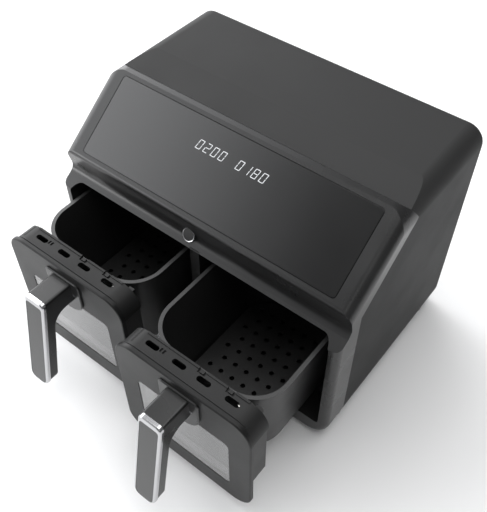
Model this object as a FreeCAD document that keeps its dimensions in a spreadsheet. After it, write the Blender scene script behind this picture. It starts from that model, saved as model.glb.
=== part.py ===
# Twin-drawer air fryer, built as the separate pieces that it would come apart into on a bench.
#
# Millimetres, +Z up, +X to the object's right as seen from behind it, -Y towards the user.  Sizes are
# worked out about the plane midway through the casing; every piece then gets the same shift in Y, so
# that the origin lies under the middle of the space that the whole object takes up, on the worktop.
import FreeCAD, Part
import math
import os
import Sketcher

Vector = FreeCAD.Vector

SIZES = {
    # casing
    "body_width": 400,
    "body_height": 302,
    "front_reach": 137,
    "rear_reach": 135,
    "wall": 2.5,
    "base_clear": 5,
    "top_round": 22,
    "base_round": 30,
    "tray_height": 36,
    "rear_cover_depth": 8,
    "rear_edge_round": 6,
    "crease_reach": 25,
    "valley_drop": 6,
    "bezel_back": 18.5,
    "bezel_round": 13,
    "crown_flat": 7,
    "seam_top_reach": 10.4,
    "seam_top_drop": 18.5,
    "seam_low_reach": 100,
    "seam_low_height": 211,
    # control panel
    "slope_angle": 37,
    "glass_width": 350,
    "glass_length": 100.4,
    "glass_thick": 3,
    "glass_gap": 0.4,
    "glass_round": 4,
    "glass_low_reach": 116.5,
    "glass_low_height": 238.4,
    "slope_wall": 5.5,
    "nose_length": 8,
    "nose_round": 6,
    "groove_reach": 115,
    "groove_height": 201.4,
    "groove_round": 12,
    "lip_height": 187,
    "frame_round": 8,
    # drawer opening
    "side_border": 12,
    "opening_low": 33,
    "opening_top": 194.5,
    "opening_round": 14,
    "sill_round": 5,
    "rib_width": 13,
    "rib_setback": 12,
    # drawers
    "right_pull": 120.5,
    "left_pull": 91.5,
    "side_gap": 1.1,
    "middle_gap": 17.8,
    "sill_overlap": 10,
    "panel_thick": 5,
    "panel_round": 25,
    "panel_edge": 2,
    "panel_top_gap": 2.5,
    "window_width": 122,
    "window_low": 52,
    "window_top": 139,
    "window_round": 6,
    "pane_thick": 3,
    "pane_gap": 0.3,
    "pane_setback": 0.6,
    "gasket_edge": 4,
    "gasket_thick": 1.5,
    "housing_side_gap": 3.5,
    "housing_depth": 25,
    "housing_low": 73,
    "housing_wall": 2.5,
    "housing_round": 20,
    "cap_thick": 4,
    "cap_gap": 4.5,
    "hood_wall": 2,
    "slot_length": 17,
    "slot_width": 6.4,
    "slot_near": 15.8,
    "slot_step": 35.6,
    # handle
    "handle_width": 30,
    "arm_top": 178,
    "arm_height": 28,
    "grip_reach": 42,
    "grip_lean": 26.5,
    "grip_low": 51,
    "grip_thick": 18,
    "trim_thick": 5,
    "trim_edge": 2.5,
    "grip_top_round": 6,
    "grip_foot_round": 10,
    "insert_inset": 3,
    "insert_drop": 5.5,
    "arm_bend": 20,
    "plate_width": 52,
    "plate_top": 181,
    "plate_low": 128,
    "plate_thick": 2.5,
    # basket
    "pan_width": 154,
    "pan_length": 200,
    "pan_setback": 34,
    "pan_low": 44,
    "pan_top": 177,
    "pan_wall": 1.4,
    "pan_corner": 40,
    "pan_taper": 4,
    "pan_bottom_round": 12,
    "rim_width": 3,
    "crisper_gap": 2.5,
    "crisper_thick": 1.6,
    "crisper_lift": 12,
    "crisper_hole": 6,
    # cooking chambers and what is above them
    "chamber_wall": 1,
    "chamber_side_gap": 0.6,
    "chamber_top": 214,
    "chamber_rear": 110,
    "slide_gap": 0.4,
    "heater_height": 193,
    "heater_tube": 3.2,
    "heater_ring": 58,
    "guard_height": 184,
    "guard_wire": 1.2,
    "guard_ring": 78,
    "hot_fan_low": 199,
    "hot_fan_height": 10,
    "hot_fan_round": 50,
    "cooling_fan_low": 218,
    "cooling_fan_height": 10,
    "cooling_fan_round": 42,
    "shaft_radius": 4,
    "shaft_play": 0.05,
    "deck_height": 232,
    "deck_reach": 75,
    "motor_radius": 28,
    "motor_height": 30,
    # outside fittings
    "foot_radius": 12.5,
    "foot_side_inset": 19,
    "foot_front_inset": 44,
    "foot_rear_inset": 28,
    "screw_radius": 2,
    "screw_head": 4,
    "gland_flange": 3,
    "badge_radius": 8.5,
    "badge_thick": 3,
    "badge_across": -12,
    "badge_tilt": 55,
    "display_width": 110,
    "display_low": 12,
    "display_high": 31,
    "display_round": 1.5,
    "board_depth": 14,
    "board_half": 115,
    "board_front": 26,
    "board_rear": 36,
    "boss_across": 100,
    "boss_along": 20,
    "boss_radius": 3,
    "board_thick": 1.6,
    "deck_thick": 1.5,
    "probe_radius": 2,
    "probe_height": 150,
    "probe_across": 40,
    "probe_length": 21,
    "probe_inside": 12,
    "handle_screw_across": 16,
    "handle_screw_height": 160,
    "screw_play": 0.2,
    "sensor_across": 60,
    "magnet_radius": 4,
    "magnet_thick": 2,
    "magnet_across": 60,
    "magnet_inset": 6,
    "power_board_reach": 116,
    "power_board_half": 80,
    "power_board_low": 224,
    "power_board_top": 284,
    "gland_inset": 60,
    "gland_height": 52,
    "gland_radius": 7,
    "gland_bore": 3.6,
}


class Size:
    """A length or angle together with the spreadsheet expression that gives it."""

    def __init__(self, value, text):
        self.value = float(value)
        self.text = text

    def __add__(self, other):
        other = as_size(other)
        return Size(self.value + other.value, "(%s + %s)" % (self.text, other.text))

    def __sub__(self, other):
        other = as_size(other)
        return Size(self.value - other.value, "(%s - %s)" % (self.text, other.text))

    def __mul__(self, other):
        other = as_size(other)
        return Size(self.value * other.value, "(%s * %s)" % (self.text, other.text))

    def __truediv__(self, other):
        other = as_size(other)
        return Size(self.value / other.value, "(%s / %s)" % (self.text, other.text))

    def __radd__(self, other):
        return as_size(other) + self

    def __rsub__(self, other):
        return as_size(other) - self

    def __rmul__(self, other):
        return as_size(other) * self

    def __neg__(self):
        return Size(-self.value, "(0 - %s)" % self.text)


def as_size(number):
    return number if isinstance(number, Size) else Size(number, repr(float(number)))


def sine(angle):
    return Size(math.sin(math.radians(angle.value)), "sin(%s)" % angle.text)


def cosine(angle):
    return Size(math.cos(math.radians(angle.value)), "cos(%s)" % angle.text)


def tangent(angle):
    return Size(math.tan(math.radians(angle.value)), "tan(%s)" % angle.text)


def square_root(number):
    return Size(math.sqrt(number.value), "sqrt(%s)" % number.text)


class Named:
    """The sizes, each an attribute that carries its cell's name."""

    def __init__(self, sizes):
        for name, number in sizes.items():
            setattr(self, name, Size(number, "Sizes." + name))


doc = FreeCAD.newDocument("AirFryer")
sheet = doc.addObject("Spreadsheet::Sheet", "Sizes")
for row, (name, number) in enumerate(SIZES.items(), start=1):
    sheet.set("A%d" % row, name)
    sheet.set("B%d" % row, str(number))
    sheet.setAlias("B%d" % row, name)
doc.recompute()
d = Named(SIZES)

# ---------------------------------------------------------------------------------------------
# Places that several pieces share
# ---------------------------------------------------------------------------------------------
HALF_WIDTH = d.body_width / 2
REAR_SEAM = d.rear_reach - d.rear_cover_depth
OPENING_HALF = HALF_WIDTH - d.side_border
PANEL_HALF = (OPENING_HALF - d.side_gap - d.middle_gap / 2) / 2
DRAWER_X = (OPENING_HALF - d.side_gap + d.middle_gap / 2) / 2
CLOSED_FRONT = -d.front_reach - d.panel_thick
PANEL_LOW = d.opening_low - d.sill_overlap
PANEL_TOP = d.opening_top - d.panel_top_gap
CAP_TOP = d.opening_top - d.cap_gap
CAP_LOW = CAP_TOP - d.cap_thick
HOUSING_HALF = PANEL_HALF - d.housing_side_gap
HOUSING_BACK = CLOSED_FRONT + d.panel_thick + d.housing_depth
PAN_FRONT = CLOSED_FRONT + d.pan_setback
PAN_MIDDLE = PAN_FRONT + d.pan_length / 2
CHAMBER_HALF = OPENING_HALF - DRAWER_X - d.chamber_side_gap
CHAMBER_FRONT = -d.seam_low_reach + 0.5
GRIP_SLOPE = d.grip_lean / (d.arm_top - d.grip_low)
GRIP_FRONT = (CLOSED_FRONT - d.grip_reach - d.grip_lean
              + d.trim_edge * (GRIP_SLOPE + square_root(1 + GRIP_SLOPE * GRIP_SLOPE) - 1))
ROW_SHIFT = (d.right_pull - GRIP_FRONT - d.rear_reach - d.gland_flange) / 2
PANEL_BACK = -d.slope_wall
BOARD_TOP = -d.board_depth
GLAND_X = HALF_WIDTH - d.gland_inset
BADGE_PLACE = {"x": d.badge_across, "y": -d.groove_reach - 3, "z": d.groove_height + 5,
               "turn": (1, 0, 0), "angle": d.badge_tilt}
CRISPER_LOW = d.pan_low + d.crisper_lift
CRISPER_INSET = (d.pan_top - CRISPER_LOW) * tangent(d.pan_taper) + d.pan_wall + d.crisper_gap
SIDES = {"left": -1, "right": 1}
PULL = {"left": d.left_pull, "right": d.right_pull}

pieces = []


# ---------------------------------------------------------------------------------------------
# Ways of making shapes
# ---------------------------------------------------------------------------------------------
def bind(thing, path, size):
    thing.setExpression(path, as_size(size).text)


def place(thing, x=0, y=0, z=0, turn=None, angle=None):
    """Puts an object somewhere, turned about an axis through its own origin."""
    if turn:
        angle = as_size(angle)
        thing.Placement = FreeCAD.Placement(Vector(), FreeCAD.Rotation(Vector(*turn), angle.value))
        bind(thing, "Placement.Rotation.Angle", angle)
    bind(thing, "Placement.Base.x", x)
    bind(thing, "Placement.Base.y", y)
    bind(thing, "Placement.Base.z", z)
    return thing


def block(x0, x1, y0, y1, z0, z1):
    """A box between two corners."""
    thing = doc.addObject("Part::Box", "Block")
    bind(thing, "Length", x1 - as_size(x0))
    bind(thing, "Width", y1 - as_size(y0))
    bind(thing, "Height", z1 - as_size(z0))
    return place(thing, x0, y0, z0)


TURNS = {"X": ((0, 1, 0), 90), "Y": ((-1, 0, 0), 90), "Z": (None, None)}


def rod(axis, radius, length, x=0, y=0, z=0):
    """A cylinder that starts at a point and runs along an axis."""
    thing = doc.addObject("Part::Cylinder", "Rod")
    bind(thing, "Radius", radius)
    bind(thing, "Height", length)
    turn, angle = TURNS[axis]
    return place(thing, x, y, z, turn, angle)


def ring(radius, tube, x=0, y=0, z=0):
    """A round wire bent into a level hoop."""
    thing = doc.addObject("Part::Torus", "Hoop")
    bind(thing, "Radius1", radius)
    bind(thing, "Radius2", tube)
    return place(thing, x, y, z)


def cut(base, *tools):
    thing = doc.addObject("Part::Cut", "Cut")
    thing.Base = base
    thing.Tool = tools[0] if len(tools) == 1 else fuse(*tools)
    return thing


def fuse(*shapes):
    thing = doc.addObject("Part::MultiFuse", "Fused")
    thing.Shapes = list(shapes)
    thing.Refine = True
    return thing


def common(first, second):
    thing = doc.addObject("Part::Common", "Common")
    thing.Base = first
    thing.Tool = second
    return thing


def group(*shapes):
    """Separate solids that are kept as one piece's file, such as a set of screws."""
    thing = doc.addObject("Part::Compound", "Group")
    thing.Links = list(shapes)
    return thing


def edges_where(shape, test):
    return ["Edge%d" % (i + 1) for i, edge in enumerate(shape.Edges) if test(edge)]


def rounded(base, radius, test):
    """A Part fillet on the edges that pass a test."""
    doc.recompute()
    thing = doc.addObject("Part::Fillet", "Rounded")
    thing.Base = base
    numbers = [i + 1 for i, edge in enumerate(base.Shape.Edges) if test(edge)]
    thing.Edges = [(n, radius.value, radius.value) for n in numbers]
    return thing


def runs_along(edge, axis):
    """Whether an edge is straight and parallel to an axis."""
    if not isinstance(edge.Curve, Part.Line):
        return False
    return abs(abs(getattr(edge.Curve.Direction, axis)) - 1) < 1e-6


def outline(body, plane, points, start=0):
    """A closed sketch of straight lines, some way along its axis, held at every corner by the sheet."""
    sketch = body.newObject("Sketcher::SketchObject", "Outline")
    origin_plane = [f for f in body.Origin.OriginFeatures if f.Role == plane][0]
    sketch.AttachmentSupport = [(origin_plane, "")]
    sketch.MapMode = "FlatFace"
    away = as_size(start)
    bind(sketch, "AttachmentOffset.Base.z", -away if plane == "XZ_Plane" else away)
    corners = [(as_size(across), as_size(up)) for across, up in points]
    spots = [Vector(across.value, up.value, 0) for across, up in corners]
    for start, end in zip(spots, spots[1:] + spots[:1]):
        sketch.addGeometry(Part.LineSegment(start, end), False)
    count = len(corners)
    for i in range(count):
        sketch.addConstraint(Sketcher.Constraint("Coincident", i, 2, (i + 1) % count, 1))
    for i, corner in enumerate(corners):
        for kind, size in zip(("DistanceX", "DistanceY"), corner):
            index = sketch.addConstraint(Sketcher.Constraint(kind, -1, 1, i, 1, size.value))
            sketch.setExpression("Constraints[%d]" % index, size.text)
    return sketch


PLANES = {"X": "YZ_Plane", "Y": "XZ_Plane", "Z": "XY_Plane"}


def prism(axis, start, end, points):
    """A PartDesign body: an outline square to an axis, padded from start to end along it."""
    body = doc.addObject("PartDesign::Body", "Prism")
    pad = body.newObject("PartDesign::Pad", "Pad")
    pad.Profile = outline(body, PLANES[axis], points, start)
    bind(pad, "Length", end - as_size(start))
    pad.Reversed = axis == "Y"
    doc.recompute()
    return body


def soften(body, radius, test):
    """A PartDesign fillet on the edges of the body's newest feature that pass a test."""
    doc.recompute()
    base = body.Tip
    names = edges_where(base.Shape, test)
    feature = body.newObject("PartDesign::Fillet", "Soft")
    feature.Base = (base, names)
    bind(feature, "Radius", radius)
    doc.recompute()
    return body


def slab(axis, start, end, low, high, radius=None, upper=None, lower=None):
    """A plate with rounded corners: low and high are its opposite corners across the axis."""
    (a0, b0), (a1, b1) = low, high
    body = prism(axis, start, end, [(a0, b0), (a1, b0), (a1, b1), (a0, b1)])
    up = "y" if axis == "Z" else "z"
    middle = (as_size(b0).value + as_size(b1).value) / 2
    for size, test in ((upper or radius, lambda c: c > middle), (lower or radius, lambda c: c < middle)):
        if size is not None:
            soften(body, size, lambda e: runs_along(e, axis.lower()) and test(getattr(e.CenterOfMass, up)))
    return body


def finish(name, thing, x=0, y=0, z=0, turn=None, angle=None, pull=0):
    """Labels a piece, moves it to its place in the object and lists it for writing."""
    thing.Label = name
    place(thing, x, ROW_SHIFT - pull + y, z, turn, angle)
    pieces.append(thing)
    return thing


# ---------------------------------------------------------------------------------------------
# Casing
# ---------------------------------------------------------------------------------------------
def envelope(front, back, inset=0):
    """The casing's outline seen from the front, carried from front to back."""
    half = HALF_WIDTH - inset
    low = d.base_clear + inset
    high = d.body_height - inset
    return slab("Y", front, back, (-half, low), (half, high), upper=d.top_round - inset,
                lower=d.base_round - inset)


def seam_line():
    """Where the fascia meets the cover, seen from the side, from the top down."""
    return [
        (-d.bezel_back, d.body_height - d.valley_drop),
        (-d.seam_top_reach, d.body_height - d.seam_top_drop),
        (-d.seam_low_reach, d.seam_low_height),
        (-d.seam_low_reach, d.base_clear),
    ]


def front_of_seam(half):
    """All the space in front of the cover's front edge."""
    beyond = d.front_reach + 50
    top, second, third, bottom = seam_line()
    points = [(-beyond, -50), (-d.seam_low_reach, -50), third, second, top,
              (-d.bezel_back, d.body_height + 50), (-beyond, d.body_height + 50)]
    return prism("X", -half, half, points)


def top_wedge(inset):
    """The sliver above the cover's top where it falls from the crease to the valley."""
    level = d.body_height - inset
    points = [(d.crease_reach, level), (-d.bezel_back, level - d.valley_drop),
              (-d.front_reach, level - d.valley_drop), (-d.front_reach, level + 50),
              (d.crease_reach, level + 50)]
    return prism("X", -d.body_width, d.body_width, points)


def outer_cover():
    outer = cut(envelope(-d.front_reach, REAR_SEAM), top_wedge(0), front_of_seam(d.body_width))
    inner = cut(envelope(-d.front_reach - 10, REAR_SEAM + 10, d.wall), top_wedge(d.wall))
    below = block(-d.body_width, d.body_width, -d.front_reach - 20, REAR_SEAM + 20, -10, d.tray_height)
    finish("outer_cover", cut(outer, inner, below))


def base_tray():
    shell = cut(envelope(-d.seam_low_reach, REAR_SEAM),
                envelope(-d.seam_low_reach - 10, REAR_SEAM + 10, d.wall),
                block(-d.body_width, d.body_width, -d.front_reach, d.rear_reach, d.tray_height,
                      d.body_height + 10))
    floor_top = d.base_clear + d.wall
    post_height = d.opening_low - d.chamber_wall - floor_top
    posts = []
    for side in SIDES.values():
        for across in (-60, 60):
            for y in (-80, 85):
                posts.append(rod("Z", 6, post_height, side * DRAWER_X + across, y, floor_top))
    vents = []
    for side in SIDES.values():
        for i in range(9):
            y = -60 + 14 * i
            vents.append(block(side * DRAWER_X - 40, side * DRAWER_X + 40, y, y + 5, 0, floor_top + 1))
    finish("base_tray", cut(fuse(shell, *posts), *vents))


def rear_screw_places():
    half = HALF_WIDTH - 24
    return [(x * half, z) for x in (-1, 1) for z in (58, 165, 270)]


def rear_cover():
    shell = envelope(REAR_SEAM, d.rear_reach)
    soften(shell, d.rear_edge_round, lambda e: e.CenterOfMass.y > d.rear_reach.value - 0.01)
    hollow = envelope(REAR_SEAM - 1, d.rear_reach - d.wall, d.wall * 2)
    holes = []
    for i in range(11):
        z = 178 + 9 * i
        for side in SIDES.values():
            holes.append(slab("Y", REAR_SEAM - 2, d.rear_reach + 2, (side * 90 - 58, z),
                              (side * 90 + 58, z + 3.6), radius=as_size(1.7)))
    for x, z in rear_screw_places():
        holes.append(rod("Y", d.screw_radius + d.screw_play, 20, x, REAR_SEAM - 4, z))
    holes.append(rod("Y", d.gland_radius, 20, GLAND_X, REAR_SEAM - 4, d.gland_height))
    post_front = d.power_board_reach + d.board_thick
    posts = [rod("Y", d.boss_radius, d.rear_reach - d.wall - post_front, x * (d.power_board_half - 6),
                 post_front, z)
             for x in (-1, 1) for z in (d.power_board_low + 5, d.power_board_top - 5)]
    finish("rear_cover", fuse(cut(shell, hollow, *holes), *posts))


def fascia_outline():
    """The fascia seen from the side: frame, lip, groove, nose, sloping panel, crown and seam."""
    rise = sine(d.slope_angle)
    run = cosine(d.slope_angle)
    nose = (-d.glass_low_reach - d.nose_length * run, d.glass_low_height - d.nose_length * rise)
    crown = -d.glass_low_reach + (d.body_height - d.glass_low_height) / tangent(d.slope_angle)
    top, second, third, bottom = seam_line()
    return [bottom, (-d.front_reach, d.base_clear), (-d.front_reach, d.lip_height),
            (-d.groove_reach, d.groove_height), nose, (crown, d.body_height),
            (crown + d.crown_flat, d.body_height), top, second, third]


def fascia_hollow():
    """The space inside the fascia above the drawers, open to the back."""
    rise = sine(d.slope_angle)
    run = cosine(d.slope_angle)
    drop = d.slope_wall
    low_y = -d.glass_low_reach + drop * rise
    low_z = d.glass_low_height - drop * run
    top_z = d.body_height - d.wall * 2
    top_y = low_y + (top_z - low_z) / tangent(d.slope_angle)
    floor = d.opening_top + d.wall
    behind_groove = -d.groove_reach + d.wall
    points = [(40, floor), (behind_groove + 1, floor), (behind_groove + 2, d.groove_height + 2),
              (low_y - 3 * run, low_z - 3 * rise), (top_y, top_z), (40, top_z)]
    inset = d.side_border / 2
    half = HALF_WIDTH - inset
    return common(prism("X", -half, half, points), envelope(-d.front_reach - 10, 60, inset))


def slope_frame():
    """Puts a thing that was made flat onto the sloping panel, centred on the glass."""
    middle = d.glass_length / 2
    y = -d.glass_low_reach + middle * cosine(d.slope_angle)
    z = d.glass_low_height + middle * sine(d.slope_angle)
    return {"y": y, "z": z, "turn": (1, 0, 0), "angle": d.slope_angle}


def under_slope():
    """Everything below the sloping panel's plane, with the panel's two sides rounded."""
    far = d.body_width
    return place(slab("Y", -far, far, (-HALF_WIDTH, -far), (HALF_WIDTH, 0), upper=d.bezel_round),
                 **slope_frame())


def front_fascia():
    solid = prism("X", -HALF_WIDTH, HALF_WIDTH, fascia_outline())

    def long_edge(y, z):
        return lambda e: (runs_along(e, "x") and abs(e.CenterOfMass.y - y.value) < 0.1
                          and abs(e.CenterOfMass.z - z.value) < 0.1)

    points = fascia_outline()
    soften(solid, d.nose_round, long_edge(*points[4]))
    soften(solid, d.groove_round, long_edge(*points[3]))
    shaped = common(common(solid, envelope(-d.front_reach - 10, 60)), under_slope())
    doc.recompute()

    def on_front(e):
        return all(abs(v.Point.y + SIZES["front_reach"]) < 0.05 for v in e.Vertexes) and not (
            runs_along(e, "x") and e.CenterOfMass.z > SIZES["lip_height"] - 1)

    shaped = rounded(shaped, d.frame_round, on_front)
    tunnel = slab("Y", -d.front_reach - 20, -d.seam_low_reach + 20, (-OPENING_HALF, d.opening_low),
                  (OPENING_HALF, d.opening_top), upper=d.opening_round, lower=d.sill_round)
    back = -d.seam_low_reach + 1
    front = -d.front_reach + d.wall * 2
    hollows = [block(-OPENING_HALF, OPENING_HALF, front, back, d.base_clear + d.wall,
                     d.opening_low - d.wall)]
    for side in SIDES.values():
        middle = side * (OPENING_HALF + d.side_border / 2)
        half = d.side_border / 2 - d.wall
        hollows.append(block(middle - half, middle + half, front + 4, back, d.base_round + d.base_clear,
                             d.opening_top - d.wall))
    recess = slab("Z", -d.glass_thick - 0.2, 10,
                  (-d.glass_width / 2 - d.glass_gap, -d.glass_length / 2 - d.glass_gap),
                  (d.glass_width / 2 + d.glass_gap, d.glass_length / 2 + d.glass_gap),
                  radius=d.glass_round + d.glass_gap)
    on_panel = fuse(recess, block(-d.display_width / 2 - 1, d.display_width / 2 + 1, d.display_low - 1,
                                  d.display_high + 1, -d.slope_wall * 2, 0))
    place(on_panel, **slope_frame())
    posts = fuse(*[rod("Z", d.boss_radius, PANEL_BACK - BOARD_TOP, x * d.boss_across, y * d.boss_along,
                       BOARD_TOP) for x in (-1, 1) for y in (-1, 1)])
    place(posts, **slope_frame())
    badge_seat = place(rod("Z", d.badge_radius, d.badge_thick + 10), **BADGE_PLACE)
    shell = cut(shaped, tunnel, fascia_hollow(), on_panel, badge_seat, *hollows)
    rib = block(-d.rib_width / 2, d.rib_width / 2, -d.front_reach + d.rib_setback, -d.seam_low_reach,
                d.opening_low - 1, d.opening_top + 1)
    finish("front_fascia", fuse(shell, rib, posts))


# ---------------------------------------------------------------------------------------------
# Control panel
# ---------------------------------------------------------------------------------------------
def control_glass():
    half = d.glass_width / 2
    plate = slab("Z", -d.glass_thick, 0, (-half, -d.glass_length / 2), (half, d.glass_length / 2),
                 radius=d.glass_round)
    finish("control_glass", plate, **slope_frame())


def display_module():
    half = d.display_width / 2
    case = slab("Z", BOARD_TOP, -d.glass_thick - d.pane_gap, (-half, d.display_low), (half, d.display_high),
                radius=d.display_round)
    finish("display_module", case, **slope_frame())


def control_board():
    board = block(-d.board_half, d.board_half, -d.board_front, d.board_rear, BOARD_TOP - d.board_thick,
                  BOARD_TOP)
    chip = block(-20, 0, -10, 10, BOARD_TOP - d.board_thick - 3, BOARD_TOP - d.board_thick)
    socket = block(60, 84, -6, 2, BOARD_TOP - d.board_thick - 8, BOARD_TOP - d.board_thick)
    finish("control_board", fuse(board, chip, socket), **slope_frame())


def badge_ring():
    """A plain hoop round a plain disc, seated in the groove above the drawers."""
    disc = rod("Z", d.badge_radius, d.badge_thick)
    bowl = rod("Z", d.badge_radius - 1, 2, 0, 0, d.badge_thick - 0.6)
    finish("badge_ring", cut(disc, bowl), **BADGE_PLACE)


# ---------------------------------------------------------------------------------------------
# Cooking chambers, heaters, fans and their wiring
# ---------------------------------------------------------------------------------------------
def chamber(side):
    """A sheet-metal box, open at the front below the fascia's lip, with runners for the basket."""
    wall = d.chamber_wall
    low = d.opening_low
    outer = block(-CHAMBER_HALF - wall, CHAMBER_HALF + wall, CHAMBER_FRONT, d.chamber_rear, low - wall,
                  d.chamber_top)
    inner = block(-CHAMBER_HALF, CHAMBER_HALF, CHAMBER_FRONT + wall, d.chamber_rear - wall, low,
                  d.chamber_top - wall)
    mouth = block(-CHAMBER_HALF, CHAMBER_HALF, CHAMBER_FRONT - 1, CHAMBER_FRONT + wall + 1, low,
                  d.opening_top)
    shaft_hole = rod("Z", d.shaft_radius + 2, 10, 0, PAN_MIDDLE, d.chamber_top - 5)
    holes = [shaft_hole]
    for across in (-1, 1):
        holes.append(rod("Z", d.heater_tube + 0.5, 10, across * 12, PAN_MIDDLE + d.heater_ring,
                         d.chamber_top - 5))
    holes.append(rod("Y", d.probe_radius + 0.3, 10, d.probe_across, d.chamber_rear - 5, d.probe_height))
    box = cut(outer, inner, mouth, *holes)
    runner_top = d.pan_low - d.slide_gap
    runners = [block(x - 3, x + 3, CHAMBER_FRONT + wall, d.chamber_rear - wall, low - wall / 2, runner_top)
               for x in (-45, 45)]
    rail_low = d.pan_top + d.slide_gap
    grip = d.pan_width / 2 + d.rim_width - 2
    for across in (-1, 1):
        edge = across * grip
        outside = across * (CHAMBER_HALF + wall / 2)
        x0, x1 = (outside, edge) if across < 0 else (edge, outside)
        runners.append(block(x0, x1, CHAMBER_FRONT + wall, d.chamber_rear - wall, rail_low,
                             rail_low + wall * 2))
    finish("chamber_" + side, fuse(box, *runners), SIDES[side] * DRAWER_X)


def heater(side):
    """Two tube rings joined by a bridge, with two ends that rise through the chamber's roof."""
    level = d.heater_height
    tube = d.heater_tube
    rings = [ring(d.heater_ring, tube, 0, PAN_MIDDLE, level),
             ring(d.heater_ring - 20, tube, 0, PAN_MIDDLE, level)]
    bridge = rod("Y", tube, 20, 0, PAN_MIDDLE - d.heater_ring, level)
    ends = [rod("Z", tube, d.chamber_top - level + 12, across * 12, PAN_MIDDLE + d.heater_ring, level)
            for across in (-1, 1)]
    finish("heater_" + side, fuse(*rings, bridge, *ends), SIDES[side] * DRAWER_X)


def flat_hoop(radius, half_width, low, height):
    """A level hoop with a square section, centred over the basket."""
    return cut(rod("Z", radius + half_width, height, 0, PAN_MIDDLE, low),
               rod("Z", radius - half_width, height + 2, 0, PAN_MIDDLE, low - 1))


def heater_guard(side):
    """A round pressed grille under the heater, hung from the roof by three legs."""
    level = d.guard_height
    wire = d.guard_wire
    step = 16
    parts = [flat_hoop(d.guard_ring - step * i, wire, level, wire) for i in range(4)]
    for angle in (0, 60, 120):
        bar = prism("X", -d.guard_ring, d.guard_ring, [(-wire, 0), (wire, 0), (wire, wire), (-wire, wire)])
        parts.append(place(bar, 0, PAN_MIDDLE, level - wire / 2, (0, 0, 1), angle))
    for x, y in ((-1, 0), (1, 0), (0, -1)):
        across = x * d.guard_ring
        along = PAN_MIDDLE + y * d.guard_ring
        parts.append(block(across - wire, across + wire, along - wire, along + wire, level,
                           d.chamber_top - d.chamber_wall))
    finish("heater_guard_" + side, fuse(*parts), SIDES[side] * DRAWER_X)


def impeller(name, side, low, height, radius, blades):
    """A fan wheel: a hub on the shaft, a thin disc and upright blades."""
    hub = rod("Z", d.shaft_radius * 2.5, height, 0, PAN_MIDDLE, low)
    disc = rod("Z", radius, 1, 0, PAN_MIDDLE, low + height - 1)
    vanes = []
    for i in range(blades):
        vane = doc.addObject("Part::Box", "Vane")
        bind(vane, "Length", radius - d.shaft_radius * 2)
        bind(vane, "Width", 1.2)
        bind(vane, "Height", height)
        angle = 360.0 * i / blades
        vane.Placement = FreeCAD.Placement(Vector(), FreeCAD.Rotation(Vector(0, 0, 1), angle))
        reach = d.shaft_radius * 1.6
        bind(vane, "Placement.Base.x", reach * math.cos(math.radians(angle)))
        bind(vane, "Placement.Base.y", PAN_MIDDLE + reach * math.sin(math.radians(angle)))
        bind(vane, "Placement.Base.z", low)
        vanes.append(vane)
    bore = rod("Z", d.shaft_radius, height * 3, 0, PAN_MIDDLE, low - height)
    finish(name + "_" + side, cut(fuse(hub, disc, *vanes), bore), SIDES[side] * DRAWER_X)


def fan_shaft(side):
    low = d.hot_fan_low - 2
    top = d.deck_height + d.deck_thick + d.motor_height + 4
    finish("fan_shaft_" + side, group(rod("Z", d.shaft_radius, top - low, 0, PAN_MIDDLE, low)),
           SIDES[side] * DRAWER_X)


def fan_motor(side):
    low = d.deck_height + d.deck_thick
    case = rod("Z", d.motor_radius, d.motor_height, 0, PAN_MIDDLE, low)
    nose = rod("Z", 11, 2, 0, PAN_MIDDLE, low + d.motor_height)
    stack = block(-d.motor_radius - 5, d.motor_radius + 5, PAN_MIDDLE - 14, PAN_MIDDLE + 14, low + 6,
                  low + d.motor_height - 6)
    bore = rod("Z", d.shaft_radius + d.shaft_play, d.motor_height + 20, 0, PAN_MIDDLE, low - 5)
    finish("fan_motor_" + side, cut(fuse(case, nose, stack), bore), SIDES[side] * DRAWER_X)


def motor_deck():
    """The plate that carries both motors, standing on the chambers on its turned-down edges."""
    half = OPENING_HALF - 4
    top = d.deck_height + d.deck_thick
    plate = block(-half, half, -d.deck_reach, d.deck_reach, d.deck_height, top)
    front = block(-half, half, -d.deck_reach, -d.deck_reach + d.deck_thick, d.chamber_top, top)
    rear = block(-half, half, d.deck_reach - d.deck_thick, d.deck_reach, d.chamber_top, top)
    holes = []
    for side in SIDES.values():
        holes.append(rod("Z", d.shaft_radius + 3, 20, side * DRAWER_X, PAN_MIDDLE, d.deck_height - 10))
        for x in (-1, 1):
            for y in (-1, 1):
                holes.append(rod("Z", 9, 20, side * DRAWER_X + x * 34, PAN_MIDDLE + y * 34,
                                 d.deck_height - 10))
    for x in (-1, 1):
        holes.append(block(x * DRAWER_X - 40, x * DRAWER_X + 40, -d.deck_reach - 5, d.deck_reach + 5,
                           d.chamber_top + 4, d.chamber_top + 12))
    finish("motor_deck", cut(fuse(plate, front, rear), *holes))


def power_board():
    """The mains board, upright on posts inside the rear cover."""
    front = d.power_board_reach
    back = front + d.board_thick
    board = block(-d.power_board_half, d.power_board_half, front, back, d.power_board_low,
                  d.power_board_top)
    parts = [block(-70, -45, front - 18, front, 232, 254), block(-35, -5, front - 24, front, 230, 262),
             rod("Y", 8, 20, 20, front - 20, 245), rod("Y", 8, 20, 42, front - 20, 245),
             block(58, 74, front - 12, front, 230, 272)]
    finish("power_board", fuse(board, *parts))


def temperature_probe(side):
    """A thin steel rod that reaches into the chamber through its back wall, with a collar outside."""
    tip = rod("Y", d.probe_radius, d.probe_length, d.probe_across, d.chamber_rear - d.probe_inside,
              d.probe_height)
    collar = rod("Y", 5, 4, d.probe_across, d.chamber_rear, d.probe_height)
    finish("temperature_probe_" + side, fuse(tip, collar), SIDES[side] * DRAWER_X)


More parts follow.
